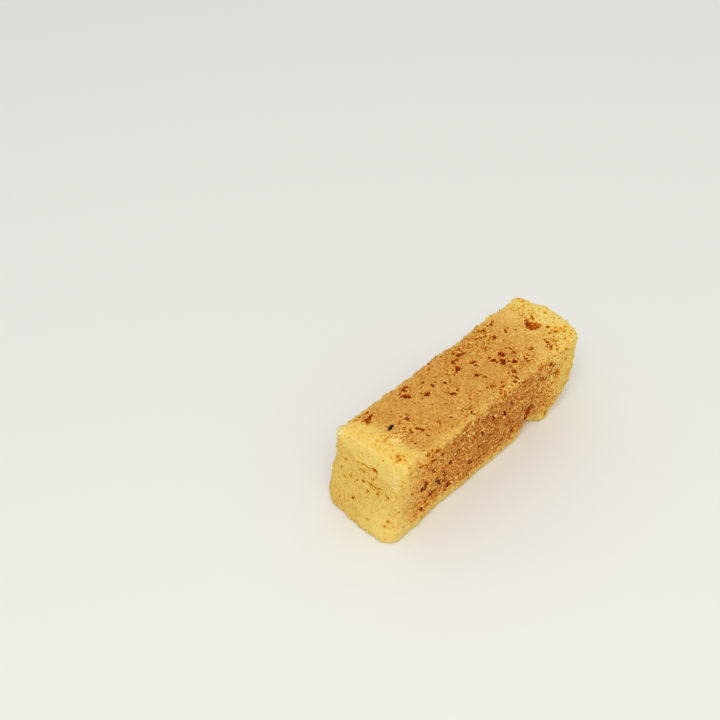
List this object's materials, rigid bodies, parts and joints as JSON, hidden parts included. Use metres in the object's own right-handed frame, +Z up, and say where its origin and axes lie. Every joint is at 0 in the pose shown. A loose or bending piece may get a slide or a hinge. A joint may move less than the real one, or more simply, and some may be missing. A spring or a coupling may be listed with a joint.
{
  "type": "mysore pak",
  "caption": "Rectangular cut bar of porous gram-flour and ghee fudge, toasted on top, with slanted knife cuts and a broken lower corner.",
  "frame": {"origin": "middle of the footprint's bounding box, on the surface that the bar stands on", "axes": "+X along the bar from its pale near end to its rounded far end, +Y to its left side, +Z up through the toasted top"},
  "size_m": [0.0822, 0.0278, 0.0284],
  "materials": {
    "fudge": "matte crumbly fudge, toasted orange-brown on the top and long sides and pale yellow at both ends"
  },
  "bodies": {
    "root": {"mysore_pak_bar": "fudge"}
  },
  "joints": []
}
